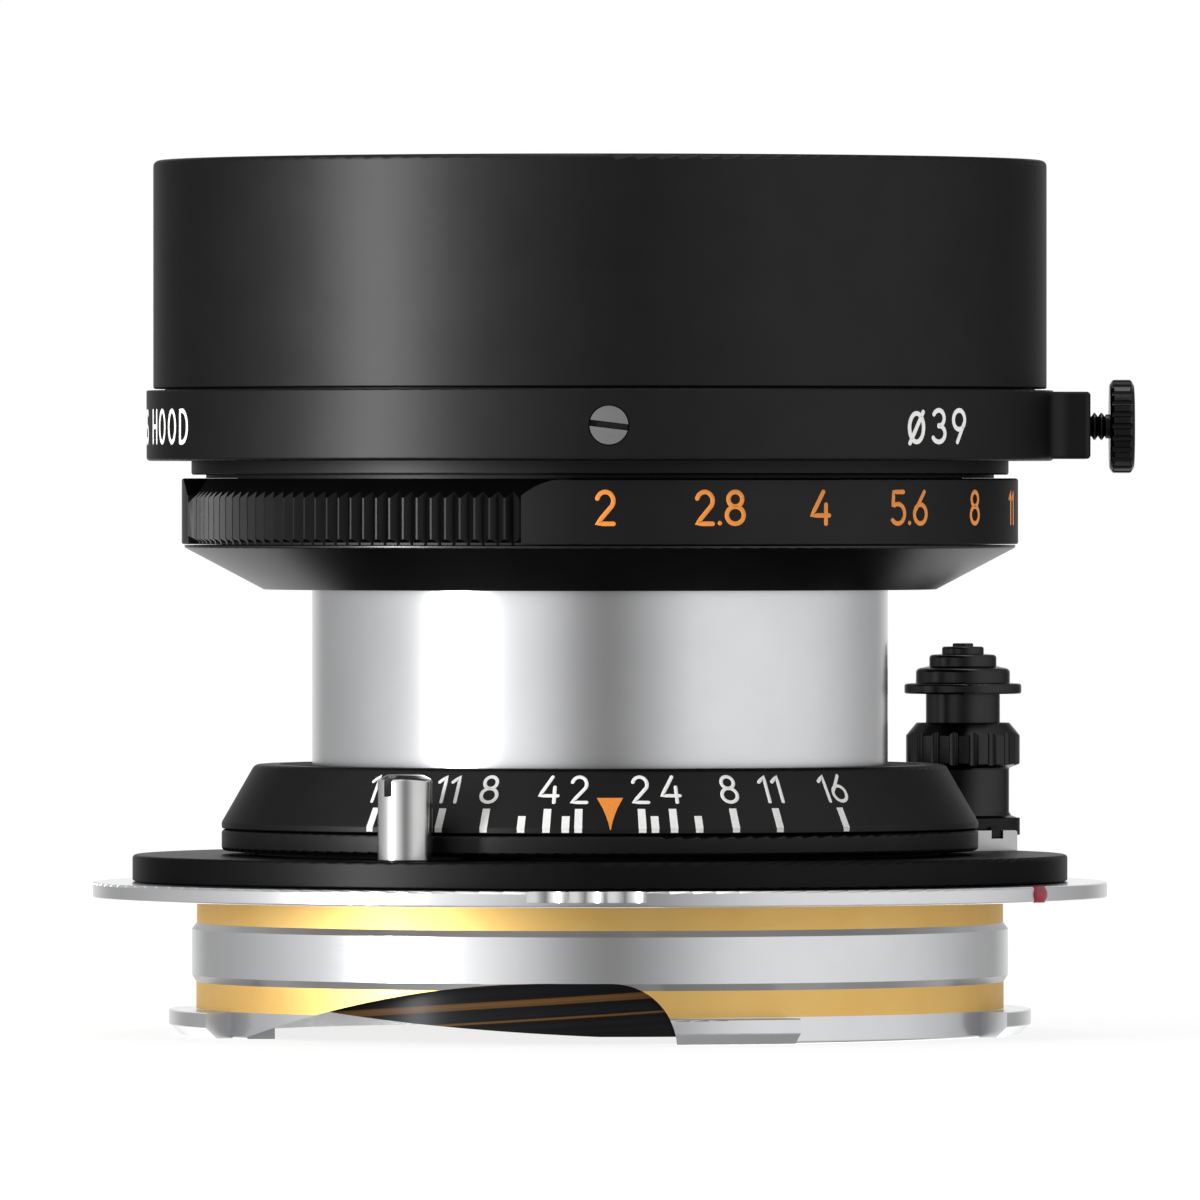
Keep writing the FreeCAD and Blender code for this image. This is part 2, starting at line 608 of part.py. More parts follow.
def hood_screws():
    screws = []
    for i, degrees in enumerate(HOOD_SCREWS_AT):
        head = radial_rod(0.97, 22.74, 23.18, 0, 0)
        head = head.fuse(radial_rod(0.44, 21.48, 22.8, 0, 0))
        slot = Part.makeBox(0.6, 2.4, 0.32, Vector(22.98, -1.2, -0.16))
        slot.rotate(ORIGIN, Vector(1, 0, 0), 40 * i - 7)
        screws.append(turned(moved(head.cut(slot), Vector(0, 0, SCREW_Z)), degrees))
    return Part.makeCompound(screws)


def clamp_pad():
    pad = rod(0.97, Vector(20.5, 0, SCREW_Z), Vector(22.0, 0, SCREW_Z))
    return pad.cut(ring(0, FRONT_R + 0.02, 20, 27))


def clamp_screw():
    pitch, crest, root, first, last = 0.35, 0.7, 0.5, 22.03, 25.9
    points = [(0, first), (root, first)]
    x = first
    while x + pitch < last:
        points.append((crest, x + pitch * 0.4))
        points.append((crest, x + pitch * 0.6))
        points.append((root, x + pitch))
        x += pitch
    points += [(0.62, last + 0.02), (0.62, 26.12), (2.15, 26.12, 0.1), (2.4, 26.3, 0.15), (2.4, 27.2, 0.15),
               (2.1, 27.38, 0.15), (0, 27.42)]
    body = turn(points)
    body = fluted(body, 24, 0.17, 2.45, 26.0, 27.6)
    body.rotate(ORIGIN, Vector(0, 1, 0), 90)
    return moved(body, Vector(0, 0, SCREW_Z))


PARTS = {
    "bayonet_mount": bayonet_mount, "mount_screws": mount_screws, "mount_index_bead": index_bead,
    "base_flange": base_flange, "focus_shim": focus_shim, "fixed_helicoid": fixed_helicoid,
    "guide_key": guide_key, "stop_post": stop_post, "infinity_catch": infinity_catch,
    "catch_screws": catch_screws,
    "rangefinder_ring": rangefinder_ring, "rangefinder_circlip": rangefinder_circlip,
    "focus_helicoid": focus_helicoid, "depth_scale_ring": depth_scale_ring,
    "focus_lever_ring": focus_lever_ring, "barrel_retaining_ring": barrel_retaining_ring,
    "focus_knob": focus_knob, "knob_spring": knob_spring,
    "lock_button": lock_button, "lock_pin": lock_pin,
    "collapse_lock_ring": collapse_lock_ring,
    "collapsing_tube": collapsing_tube, "head_cone": head_cone, "head_barrel": head_barrel,
    "click_spring": click_spring, "click_ball": click_ball, "filter_ring": filter_ring,
    "front_cell": front_cell, "front_bezel": front_bezel, "iris_base_plate": iris_base_plate,
    "middle_retaining_ring": middle_retainer, "rear_cell": rear_cell, "rear_retaining_ring": rear_retainer,
    "aperture_ring": aperture_ring, "aperture_drive_screw": aperture_screw,
    "iris_drive_ring": iris_drive_ring,
    "hood_shell": hood_shell, "hood_clamp_ring": hood_clamp_ring, "hood_screws": hood_screws,
    "clamp_pad": clamp_pad, "clamp_screw": clamp_screw,
}

# name, radius, front edge z, front sag, rear edge z, rear sag
GLASS = (
    ("lens_element_1", 13.8, 22.15, 2.75, 21.75, -1.06),
    ("lens_element_2", 13.8, 21.75, -1.06, 20.02, 0.05),
    ("lens_element_3", 10.5, 16.3, -0.93, 13.0, 1.24),
    ("lens_element_4", 11.95, 11.5, -0.05, 7.85, 2.65),
    ("lens_element_5", 11.95, 7.85, 2.65, 7.35, -1.81),
)


def main():
    os.makedirs("parts", exist_ok=True)
    shapes = {name: make() for name, make in PARTS.items()}
    for name, *numbers in GLASS:
        shapes[name] = lens(*numbers)
    for index in range(BLADES):
        shapes[f"iris_blade_{index + 1:02d}"] = iris_blade(index)
    for name, shape in shapes.items():
        shape.exportStep(f"parts/{name}.step")
        print(f"{name:24s} solids {len(shape.Solids)} valid {shape.isValid()} volume {shape.Volume:9.3f}")


main()
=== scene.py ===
import json
import math

import bmesh
import bpy
import numpy as np
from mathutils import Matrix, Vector


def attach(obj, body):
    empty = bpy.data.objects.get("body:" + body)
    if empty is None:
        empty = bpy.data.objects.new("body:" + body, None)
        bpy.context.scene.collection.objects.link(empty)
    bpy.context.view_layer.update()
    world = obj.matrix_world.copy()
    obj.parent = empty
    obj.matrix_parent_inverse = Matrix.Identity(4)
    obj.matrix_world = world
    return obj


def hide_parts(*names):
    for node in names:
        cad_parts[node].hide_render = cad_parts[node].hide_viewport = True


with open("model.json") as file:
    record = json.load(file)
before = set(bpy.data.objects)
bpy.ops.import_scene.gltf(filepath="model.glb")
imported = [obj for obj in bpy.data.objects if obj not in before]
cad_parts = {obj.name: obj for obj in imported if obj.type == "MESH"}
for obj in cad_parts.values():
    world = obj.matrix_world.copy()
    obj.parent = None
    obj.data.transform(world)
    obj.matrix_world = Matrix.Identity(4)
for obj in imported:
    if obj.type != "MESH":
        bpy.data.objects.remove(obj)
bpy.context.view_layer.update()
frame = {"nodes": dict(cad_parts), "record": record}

# Lens on a pale floor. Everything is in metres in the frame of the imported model:
# +Z is the optical axis, Z = 0 the register face, -Y the side that faces the camera.

MM = 0.001

# Places on the object, in millimetres. Angles are in degrees from the front (-Y) towards +X.
BAYONET_END = -7.0
NECK_R = (20.4, 20.75)
NECKS_Z = ((-1.28, -0.01), (-5.66, -4.31))
SLOPE_R = (20.66, 20.93)
SLOPES_Z = ((-1.6, -1.28), (-4.31, -3.94))
APERTURE_R = 21.44
NUMERAL_Z = 19.98
STOP_STEP = 15.7  # turn of the aperture ring from one stop to the next
INDEX_AT = 1.55
MARK_STEP = 2.4  # angle of the depth-of-field lines per stop number
CONE_FOOT_R, CONE_FOOT_Z = 19.4, 3.85
CONE_TOP_R, CONE_TOP_Z = 17.7, 6.82
CLAMP_R = 23.25
CLAMP_TEXT_Z = 23.3
SCREW_SLOT_R = (22.9, 23.12)
KNOB_AXIS = ((18.900, 15.747, 0.0), (0.0, 0.0, 1.0))
POST_AXIS = ((-9.806, -19.246, 0.0), (0.0, 0.0, 1.0))
THUMB_AXIS = ((0.0, 0.0, 24.13), (1.0, 0.0, 0.0))
OPTICAL_AXIS = ((0.0, 0.0, 0.0), (0.0, 0.0, 1.0))
TURNED_ABOUT = {"focus_knob": KNOB_AXIS, "lock_button": KNOB_AXIS, "lock_pin": KNOB_AXIS,
                "knob_spring": KNOB_AXIS, "stop_post": POST_AXIS, "clamp_screw": THUMB_AXIS,
                "clamp_pad": THUMB_AXIS}


# ---- materials ------------------------------------------------------------------
def new_material(name, **sockets):
    """Principled material with constant sockets set by name."""
    material = bpy.data.materials.new(name)
    material.use_nodes = True
    shader = material.node_tree.nodes["Principled BSDF"]
    for key, value in sockets.items():
        shader.inputs[key.replace("_", " ")].default_value = value
    return material, material.node_tree, shader


def node(tree, kind, **values):
    """New shader node. Attributes are set by name, and inputs by a leading in_ and their place."""
    made = tree.nodes.new(kind)
    for key, value in values.items():
        if key.startswith("in_"):
            made.inputs[int(key[3:])].default_value = value
        else:
            setattr(made, key, value)
    return made


def object_noise(tree, stretch, scale, detail=3.0, roughness=0.6):
    """Noise over the object's own coordinates, stretched per axis."""
    where = node(tree, "ShaderNodeTexCoord")
    mapping = node(tree, "ShaderNodeMapping", in_3=stretch)
    noise = node(tree, "ShaderNodeTexNoise")
    noise.inputs["Scale"].default_value = scale
    noise.inputs["Detail"].default_value = detail
    noise.inputs["Roughness"].default_value = roughness
    tree.links.new(where.outputs["Object"], mapping.inputs[0])
    tree.links.new(mapping.outputs[0], noise.inputs["Vector"])
    return noise


def angle_and_height(tree):
    """Sockets for the angle about the axis, in radians, and the height."""
    where = node(tree, "ShaderNodeTexCoord")
    split = node(tree, "ShaderNodeSeparateXYZ")
    tree.links.new(where.outputs["Object"], split.inputs[0])
    angle = node(tree, "ShaderNodeMath", operation="ARCTAN2")
    tree.links.new(split.outputs[1], angle.inputs[0])
    tree.links.new(split.outputs[0], angle.inputs[1])
    return angle.outputs[0], split.outputs[2]


def spread(tree, source, low, high):
    """Maps a 0..1 value onto low..high."""
    ramp = node(tree, "ShaderNodeMapRange", in_3=low, in_4=high)
    tree.links.new(source, ramp.inputs[0])
    return ramp.outputs[0]


def bump(tree, shader, height, strength, distance):
    """Fine relief; the distance is in metres."""
    made = node(tree, "ShaderNodeBump")
    made.inputs["Strength"].default_value = strength
    made.inputs["Distance"].default_value = distance
    tree.links.new(height, made.inputs["Height"])
    tree.links.new(made.outputs[0], shader.inputs["Normal"])


def tint(tree, shader, source, dark, light):
    """Base colour that drifts between two tones."""
    ramp = node(tree, "ShaderNodeValToRGB")
    ramp.color_ramp.elements[0].color = (*dark, 1)
    ramp.color_ramp.elements[0].position = 0.3
    ramp.color_ramp.elements[1].color = (*light, 1)
    ramp.color_ramp.elements[1].position = 0.7
    tree.links.new(source, ramp.inputs[0])
    tree.links.new(ramp.outputs[0], shader.inputs["Base Color"])


def black_finish(name, tone, rough):
    """Black oxide finish with the fine grain of bead blasting; it hardly brightens at grazing angles."""
    made, tree, shader = new_material(name, Metallic=1.0, Specular_Tint=(0.5, 0.5, 0.5, 1.0))
    grain = object_noise(tree, (1, 1, 1), 11000.0, detail=2.0, roughness=0.7)
    cloud = object_noise(tree, (1, 1, 1), 260.0, detail=4.0)
    light = tone * 1.15
    tint(tree, shader, cloud.outputs[0], (tone, tone, tone), (light, light, light * 1.03))
    tree.links.new(spread(tree, cloud.outputs[0], rough - 0.02, rough + 0.02), shader.inputs["Roughness"])
    bump(tree, shader, grain.outputs[0], 0.22, 0.000008)
    return made


def matt_black():
    """Matt paint of the inner walls; also used as painted shade in the hood screws' slots."""
    made, tree, shader = new_material("matt_black", Metallic=0.0, Specular_IOR_Level=0.25)
    grain = object_noise(tree, (1, 1, 1), 6000.0, detail=3.0)
    tint(tree, shader, grain.outputs[0], (0.006, 0.006, 0.006), (0.012, 0.012, 0.0125))
    tree.links.new(spread(tree, grain.outputs[0], 0.7, 0.85), shader.inputs["Roughness"])
    bump(tree, shader, grain.outputs[0], 0.4, 0.00002)
    return made


def turned_metal(name, dark, light, rough, lines=0.25):
    """Metal with fine turning lines round the axis."""
    made, tree, shader = new_material(name, Metallic=1.0, Specular_Tint=(0.75, 0.75, 0.75, 1.0))
    rings = object_noise(tree, (0.02, 0.02, 1.0), 26000.0, detail=2.0, roughness=0.8)
    cloud = object_noise(tree, (1, 1, 1), 180.0, detail=4.0)
    tint(tree, shader, cloud.outputs[0], dark, light)
    tree.links.new(spread(tree, rings.outputs[0], rough * 0.85, rough * 1.15), shader.inputs["Roughness"])
    bump(tree, shader, rings.outputs[0], lines, 0.000002)
    return made


TURNING_LEAD = -0.00126  # metres of height per radian


def gloss_black():
    """Gloss black with brown and gold helical turning marks."""
    made, tree, shader = new_material("gloss_black", Metallic=0.0, Specular_IOR_Level=0.08, Roughness=0.25)
    angle, height = angle_and_height(tree)
    lead = node(tree, "ShaderNodeMath", operation="MULTIPLY", in_1=TURNING_LEAD)
    tree.links.new(angle, lead.inputs[0])
    band = node(tree, "ShaderNodeMath", operation="ADD")
    tree.links.new(height, band.inputs[0])
    tree.links.new(lead.outputs[0], band.inputs[1])
    marks = node(tree, "ShaderNodeTexNoise", noise_dimensions="1D")
    marks.inputs["Scale"].default_value = 1300.0
    marks.inputs["Detail"].default_value = 4.0
    tree.links.new(band.outputs[0], marks.inputs["W"])
    ramp = node(tree, "ShaderNodeValToRGB")
    black = (0.006, 0.0055, 0.005, 1)
    stops = ramp.color_ramp.elements
    stops[0].position, stops[0].color = 0.56, black
    stops[1].position, stops[1].color = 0.72, (0.2, 0.095, 0.03, 1)
    stops.new(0.42).color = (0.008, 0.009, 0.011, 1)
    stops.new(0.36).color = black
    tree.links.new(marks.outputs[0], ramp.inputs[0])
    tree.links.new(ramp.outputs[0], shader.inputs["Base Color"])
    bump(tree, shader, marks.outputs[0], 0.3, 0.00002)
    return made


def paint(name, colour, rough=0.45):
    """Paint that fills engraved marks."""
    made, tree, shader = new_material(name, Metallic=0.0)
    speck = object_noise(tree, (1, 1, 1), 5000.0, detail=2.0)
    dark = tuple(c * 0.9 for c in colour)
    tint(tree, shader, speck.outputs[0], dark, colour)
    tree.links.new(spread(tree, speck.outputs[0], rough * 0.9, rough * 1.1), shader.inputs["Roughness"])
    return made


def red_glass():
    """Glossy red of the index bead."""
    made, tree, shader = new_material("red_bead", Metallic=0.0, Roughness=0.18, Coat_Weight=0.6,
                                      Subsurface_Weight=0.2, Subsurface_Scale=0.0004)
    cloud = object_noise(tree, (1, 1, 1), 1500.0)
    tint(tree, shader, cloud.outputs[0], (0.22, 0.008, 0.018), (0.34, 0.014, 0.03))
    return made


def coated_glass():
    """Optical glass with a violet coating."""
    made, tree, shader = new_material("optical_glass", Metallic=0.0, Roughness=0.0, IOR=1.62,
                                      Transmission_Weight=1.0, Specular_Tint=(0.62, 0.5, 1.0, 1.0))
    dust = object_noise(tree, (1, 1, 1), 400.0)
    tint(tree, shader, dust.outputs[0], (0.90, 0.94, 0.97), (0.94, 0.96, 0.98))
    return made


def nylon():
    """Off-white nylon of the clamp pad."""
    made, tree, shader = new_material("nylon", Metallic=0.0, Roughness=0.5, Subsurface_Weight=0.2,
                                      Subsurface_Scale=0.0005)
    cloud = object_noise(tree, (1, 1, 1), 900.0)
    tint(tree, shader, cloud.outputs[0], (0.70, 0.68, 0.62), (0.80, 0.78, 0.72))
    return made


MATERIALS = {
    "black_enamel": black_finish("black_enamel", 0.028, 0.44),
    "black_lacquer": black_finish("black_lacquer", 0.05, 0.3),
    "black_polish": black_finish("black_polish", 0.04, 0.24),
    # darker copy of black enamel for the base flange: painted shade
    "black_base_painted_shade": black_finish("black_base_painted_shade", 0.014, 0.42),
    "matt_black": matt_black(),
    "satin_chrome": turned_metal("satin_chrome", (0.765, 0.77, 0.785), (0.815, 0.82, 0.83), 0.21, lines=0.08),
    "bright_steel": turned_metal("bright_steel", (0.68, 0.68, 0.68), (0.76, 0.76, 0.75), 0.22, lines=0.12),
    "spring_steel": turned_metal("spring_steel", (0.5, 0.5, 0.51), (0.6, 0.6, 0.6), 0.3),
    "blade_steel": turned_metal("blade_steel", (0.03, 0.03, 0.032), (0.05, 0.05, 0.055), 0.4),
    "brass": turned_metal("brass", (0.93, 0.59, 0.18), (0.99, 0.67, 0.24), 0.5, lines=0.08),
    "gloss_black": gloss_black(),
    "red_bead": red_glass(),
    "optical_glass": coated_glass(),
    "nylon": nylon(),
}
ORANGE = paint("orange_paint", (0.86, 0.28, 0.035))
WHITE = paint("white_paint", (0.93, 0.93, 0.91))

# nodes whose look differs from the slot that their record names; the base flange's darker black is painted
# shade
FINISH = {"base_flange": "black_base_painted_shade", "focus_knob": "black_polish", "lock_button": "black_polish",
          "clamp_screw": "black_polish", "head_cone": "black_lacquer", "fixed_helicoid": "matt_black",
          "focus_shim": "matt_black", "hood_screws": "spring_steel", "infinity_catch": "spring_steel"}


def dress_nodes():
    """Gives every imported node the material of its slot."""
    for part in frame["record"]["subparts"]:
        target = frame["nodes"][part["node"]]
        target.data.materials.clear()
        target.data.materials.append(MATERIALS[FINISH.get(part["node"], part["material_slot"])])


# ---- meshes ----------------------------------------------------------------------
TURNED_MISS = 0.12  # how far a turned face's normal may lean out of the plane through its axis
TURNED_DEPTH = 2.2e-5  # metres that a turned face may rise above its own cone
FLAT_END = 0.9999  # faces squarer to the axis than this are flat ends
SMOOTH_LIMIT = 29.5  # degrees between faces that are shaded as one
PLANE_TILTS, PLANE_GAP, GRID_SHIFT = 60, 5e-5, 0.137  # grid that groups the faces of one plane


def make_object(name, bm, materials, body, axis=None):
    """Finishes a bmesh as an object that rides on a body."""
    mesh = bpy.data.meshes.new(name)
    bm.to_mesh(mesh)
    bm.free()
    for material in materials:
        mesh.materials.append(material)
    mesh.shade_smooth()
    mesh.normals_split_custom_set(corner_normals(mesh, axis or OPTICAL_AXIS).tolist())
    made = bpy.data.objects.new(name, mesh)
    bpy.context.scene.collection.objects.link(made)
    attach(made, body)
    return made


def read(collection, key, width, kind=float):
    """Numbers of every element of a mesh collection as an array."""
    values = np.empty(len(collection) * width, kind)
    collection.foreach_get(key, values)
    return values.reshape(-1, width) if width > 1 else values


def corner_normals(mesh, axis):
    """Corner normals: exact round an axis for turned faces, and blended across shallow edges."""
    origin, along = np.array(axis[0]) * MM, np.array(axis[1])
    points = read(mesh.vertices, "co", 3)
    corner_point = read(mesh.loops, "vertex_index", 1, np.int32)
    first = read(mesh.polygons, "loop_start", 1, np.int32)
    face = np.repeat(np.arange(len(first)), read(mesh.polygons, "loop_total", 1, np.int32))
    flat, area = read(mesh.polygons, "normal", 3), read(mesh.polygons, "area", 1)
    centre = read(mesh.polygons, "center", 3)

    def split(where):
        offset = where - origin
        height = offset @ along
        offset = offset - np.outer(height, along)
        radius = np.maximum(np.linalg.norm(offset, axis=1), 1e-9)
        return offset / radius[:, None], radius, height

    out, _, _ = split(centre)
    axial, radial = flat @ along, np.einsum("ij,ij->i", flat, out)
    across = np.linalg.norm(flat - np.outer(axial, along) - radial[:, None] * out, axis=1)
    corner_out, radius, height = split(points[corner_point])
    profile = radial[face] * radius + axial[face] * height
    depth = np.maximum.reduceat(profile, first) - np.minimum.reduceat(profile, first)
    turned = ((across < TURNED_MISS) & (depth < TURNED_DEPTH) & (abs(axial) < FLAT_END))[face]
    lean = np.sign(radial) * np.sqrt(np.maximum(1 - axial * axial, 0))
    exact = np.outer(axial[face], along) + lean[face][:, None] * corner_out
    normals = np.where(turned[:, None], exact, flat[face])
    weight = face_weight(mesh, flat, area, turned[first])[face] * corner_angle(mesh, points)
    return blend(normals, corner_point, weight, math.cos(math.radians(SMOOTH_LIMIT)))


def face_weight(mesh, flat, area, turned):
    """Square of each face's width, so that narrow facets of a rounded edge bend towards wide faces."""
    first = read(mesh.polygons, "loop_start", 1, np.int32)
    ends = read(mesh.vertices, "co", 3)[read(mesh.edges, "vertices", 2, np.int32)]
    length = np.linalg.norm(ends[:, 1] - ends[:, 0], axis=1)
    longest = np.maximum.reduceat(length[read(mesh.loops, "edge_index", 1, np.int32)], first)
    offset = np.einsum("ij,ij->i", flat, read(mesh.polygons, "center", 3))
    key = np.column_stack((np.round(flat * PLANE_TILTS + GRID_SHIFT),
                           np.round(offset / PLANE_GAP + GRID_SHIFT)))
    _, plane = np.unique(key, axis=0, return_inverse=True)
    plane_area = np.bincount(plane.ravel(), area)[plane.ravel()]
    return np.where(turned, (area / longest) ** 2, plane_area)


def corner_angle(mesh, points):
    """Angle of each face corner, in radians."""
    first = read(mesh.polygons, "loop_start", 1, np.int32)
    last = first + read(mesh.polygons, "loop_total", 1, np.int32) - 1
    corner = points[read(mesh.loops, "vertex_index", 1, np.int32)]
    after, before = np.arange(1, len(corner) + 1), np.arange(-1, len(corner) - 1)
    after[last], before[first] = first, last
    ahead, behind = corner[after] - corner, corner[before] - corner
    size = np.linalg.norm(ahead, axis=1) * np.linalg.norm(behind, axis=1)
    return np.arccos(np.clip(np.einsum("ij,ij->i", ahead, behind) / np.maximum(size, 1e-20), -1, 1))


def blend(normals, corner_point, weight, limit):
    """Weighted mean of the normals that meet at a point within the limit angle."""
    order = np.argsort(corner_point, kind="stable")
    _, starts, counts = np.unique(corner_point[order], return_index=True, return_counts=True)
    start, count = np.repeat(starts, counts), np.repeat(counts, counts)
    here = np.arange(len(order))
    n, w = normals[order], weight[order] / weight.max() + 1e-9
    total = n * w[:, None]
    for step in range(1, counts.max()):
        active = here[count > step]
        other = start[active] + (active - start[active] + step) % count[active]
        close = np.einsum("ij,ij->i", n[active], n[other]) > limit
        total[active] += n[other] * (w[other] * close)[:, None]
    result = np.empty_like(normals)
    result[order] = total / np.linalg.norm(total, axis=1)[:, None]
    return result


def smooth_copy(name, body, slot):
    """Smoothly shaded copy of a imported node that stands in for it."""
    bm = bmesh.new()
    bm.from_mesh(frame["nodes"][name].data)
    bmesh.ops.remove_doubles(bm, verts=bm.verts, dist=1e-8)
    materials = [MATERIALS[FINISH.get(name, slot)]]
    if name == "bayonet_mount":
        materials += [MATERIALS["brass"], MATERIALS["spring_steel"]]
        bare_necks(bm)
    if name == "hood_screws":
        # matt black on the hood screws paints shade into their slots
        materials.append(MATERIALS["matt_black"])
        paint_slot_shade(bm)
    made = make_object(name + "_shell", bm, materials, body, TURNED_ABOUT.get(name))
    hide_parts(name)


def bare_necks(bm):
    """Gives the bayonet's two necks the second material and the slopes beside them the third."""
    cut = Vector((0, 0, NECKS_Z[1][0])) * MM
    geometry = bm.verts[:] + bm.edges[:] + bm.faces[:]
    bmesh.ops.bisect_plane(bm, geom=geometry, plane_co=cut, plane_no=(0, 0, 1), dist=1e-8)
    for face in bm.faces:
        centre = face.calc_center_median() / MM
        radius, lean = math.hypot(centre.x, centre.y), abs(face.normal.z)
        neck = any(low < centre.z < high for low, high in NECKS_Z)
        if neck and NECK_R[0] < radius < NECK_R[1] and lean < 0.2:
            face.material_index = 1
        slope = any(low < centre.z < high for low, high in SLOPES_Z)
        if slope and SLOPE_R[0] < radius < SLOPE_R[1] and 0.2 < lean < 0.9:
            face.material_index = 2


def paint_slot_shade(bm):
    """Gives the floors of the hood screws' slots the second material, matt black, as painted shade in the
    slots.
    """
    for face in bm.faces:
        centre = face.calc_center_median() / MM
        if SCREW_SLOT_R[0] < math.hypot(centre.x, centre.y) < SCREW_SLOT_R[1]:
            out = Vector((centre.x, centre.y, 0)).normalized()
            if abs(face.normal.dot(out)) > 0.95 or abs(face.normal.z) > 0.6:
                face.material_index = 1


def smooth_visible_nodes():
    """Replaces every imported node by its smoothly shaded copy."""
    slots = {part["node"]: part["material_slot"] for part in frame["record"]["subparts"]}
    for body, members in frame["record"]["behaviour"]["bodies"].items():
        for name in members:
            smooth_copy(name, body, slots[name])


# ---- engraved marks -----------------------------------------------------------------
def arc(cx, cy, rx, ry, start, end, steps=14):
    """Points along an ellipse, in degrees counted from +x."""
    span = [math.radians(start + (end - start) * i / steps) for i in range(steps + 1)]
    return [(cx + rx * math.cos(a), cy + ry * math.sin(a)) for a in span]


# Glyphs one unit high, drawn with a round-ended stroke: width, then strokes.
GLYPHS = {
    "0": (0.6, [arc(0.3, 0.5, 0.3, 0.5, 90, 450, 32)]),
    "1": (0.26, [[(0.02, 0.78), (0.26, 1.0), (0.26, 0.0)]]),
    "2": (0.52, [arc(0.26, 0.72, 0.255, 0.28, 165, -35) + [(0.0, 0.0), (0.52, 0.0)]]),
    "3": (0.58, [arc(0.28, 0.75, 0.26, 0.25, 150, -90), arc(0.28, 0.26, 0.3, 0.26, 90, -150)]),
    "4": (0.64, [[(0.42, 1.0), (0.0, 0.26), (0.64, 0.26)], [(0.52, 0.6), (0.52, 0.0)]]),
    "5": (0.56, [[(0.5, 1.0), (0.06, 1.0), (0.04, 0.56)] + arc(0.25, 0.31, 0.31, 0.31, 122, -140)]),
    "6": (0.58, [arc(0.29, 0.3, 0.29, 0.3, 150, 510, 28), [(0.48, 1.0), (0.03, 0.4)]]),
    "8": (0.56, [arc(0.28, 0.77, 0.23, 0.23, 90, 450, 26), arc(0.28, 0.27, 0.28, 0.27, 90, 450, 28)]),
    "9": (0.58, [arc(0.29, 0.7, 0.29, 0.3, -30, 330, 28), [(0.55, 0.6), (0.2, 0.0)]]),
    " ": (0.3, []),
    "D": (0.56, [[(0.0, 0.0), (0.0, 1.0)] + arc(0.18, 0.5, 0.38, 0.5, 90, -90, 16) + [(0.0, 0.0)]]),
    "E": (0.46, [[(0.46, 1.0), (0.0, 1.0), (0.0, 0.0), (0.46, 0.0)], [(0.0, 0.52), (0.4, 0.52)]]),
    "H": (0.58, [[(0.0, 0.0), (0.0, 1.0)], [(0.58, 0.0), (0.58, 1.0)], [(0.0, 0.5), (0.58, 0.5)]]),
    "L": (0.44, [[(0.0, 1.0), (0.0, 0.0), (0.44, 0.0)]]),
    "N": (0.58, [[(0.0, 0.0), (0.0, 1.0), (0.58, 0.0), (0.58, 1.0)]]),
    "O": (0.62, [arc(0.31, 0.5, 0.31, 0.5, 90, 450, 28)]),
    "S": (0.54, [arc(0.28, 0.75, 0.25, 0.25, 35, 270) + arc(0.26, 0.25, 0.27, 0.25, 90, -145)]),
    ".": (0.06, [[(0.03, 0.02), (0.03, 0.021)]]),
    "o": (0.62, [arc(0.31, 0.45, 0.31, 0.45, 90, 450, 28), [(0.02, -0.04), (0.6, 0.94)]]),
}
GLYPH_GAP = 0.2
STROKE_SIDES = 10
STROKE_CAP = (70, 40, 15)  # degrees of the rings that round a stroke's end
STROKE_RUN = 0.3  # longest straight run of a stroke on a curved surface, in millimetres
STROKE_ABOVE, STROKE_BELOW = 0.022, 0.05
BLOCK_STEPS = 4


def flat_tube(bm, points, half, above, below, place):
    """Closed round-ended stroke along 2-D points, laid on a surface by place(u, v, height)."""
    turns = [2 * math.pi * k / STROKE_SIDES for k in range(STROKE_SIDES)]
    profile = [(math.cos(a), math.sin(a)) for a in turns]
    path = [points[0]] + [p for p, q in zip(points[1:], points) if math.dist(p, q) > 1e-6]

    def direction(i):
        a, b = path[max(i - 1, 0)], path[min(i + 1, len(path) - 1)]
        length = math.dist(a, b)
        return (b[0] - a[0]) / length, (b[1] - a[1]) / length

    def section(point, along, scale):
        rim = []
        for side, lift in profile:
            offset = half * side * scale
            height = (above if lift > 0 else below) * lift * scale
            u, v = point[0] - along[1] * offset, point[1] + along[0] * offset
            rim.append(bm.verts.new(place(u, v, height)))
        return rim

    def cap(point, along, angle, side):
        reach = side * half * math.sin(angle)
        shifted = (point[0] + along[0] * reach, point[1] + along[1] * reach)
        return section(shifted, along, math.cos(angle))

    caps = [math.radians(a) for a in STROKE_CAP]
    first, last = direction(0), direction(len(path) - 1)
    sections = [cap(path[0], first, a, -1) for a in caps]
    sections += [section(point, direction(i), 1.0) for i, point in enumerate(path)]
    sections += [cap(path[-1], last, a, 1) for a in reversed(caps)]
    for near, far in zip(sections, sections[1:]):
        for k in range(STROKE_SIDES):
            beside = (k + 1) % STROKE_SIDES
            bm.faces.new((near[k], near[beside], far[beside], far[k]))
    bm.faces.new(reversed(sections[0]))
    bm.faces.new(sections[-1])


def split_long(points, longest):
    """Adds points so that no run is longer than the limit, to follow a curved surface."""
    out = [points[0]]
    for a, b in zip(points, points[1:]):
        count = max(1, math.ceil(math.dist(a, b) / longest))
        for i in range(1, count + 1):
            out.append((a[0] + (b[0] - a[0]) * i / count, a[1] + (b[1] - a[1]) * i / count))
    return out


def write(bm, text, height, stroke, centre_u, base_v, place, gap=GLYPH_GAP):
    """Draws text centred on centre_u with its foot on base_v, all in millimetres."""
    widths = [GLYPHS[c][0] * height for c in text]
    gap = gap * height
    u = centre_u - (sum(widths) + gap * (len(text) - 1)) / 2
    for char, width in zip(text, widths):
        for stroke_points in GLYPHS[char][1]:
            points = [(u + x * height, base_v + y * height) for x, y in stroke_points]
            path = split_long(points, STROKE_RUN)
            flat_tube(bm, path, stroke / 2, STROKE_ABOVE, STROKE_BELOW, place)
        u += width + gap


